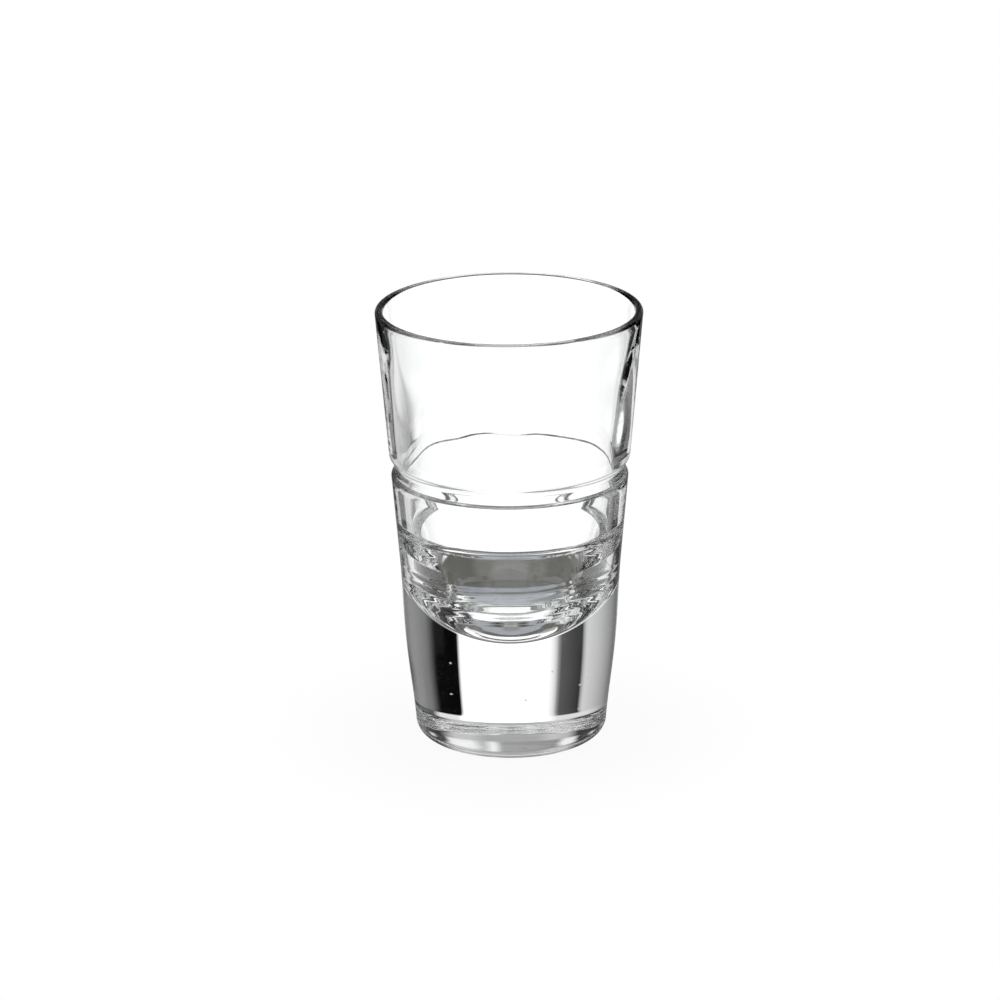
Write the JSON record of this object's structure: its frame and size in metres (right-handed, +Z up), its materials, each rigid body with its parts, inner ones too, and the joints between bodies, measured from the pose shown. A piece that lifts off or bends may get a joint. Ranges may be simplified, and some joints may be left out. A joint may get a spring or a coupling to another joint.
{
  "type": "tequila glass",
  "caption": "Tapered clear shot glass with a rounded lip, a fine groove at mid height, a narrow ledge inside over a round-bottomed bowl and a thick solid base.",
  "frame": {"origin": "centre of the plane that the glass stands on", "axes": "+Z up along the glass's axis towards its mouth; X and Y level, in any turn, because the glass is round"},
  "size_m": [0.05, 0.05, 0.0837],
  "materials": {
    "clear_glass": "fire-polished, clear"
  },
  "bodies": {
    "root": {"glass_body": "clear_glass"}
  },
  "joints": []
}
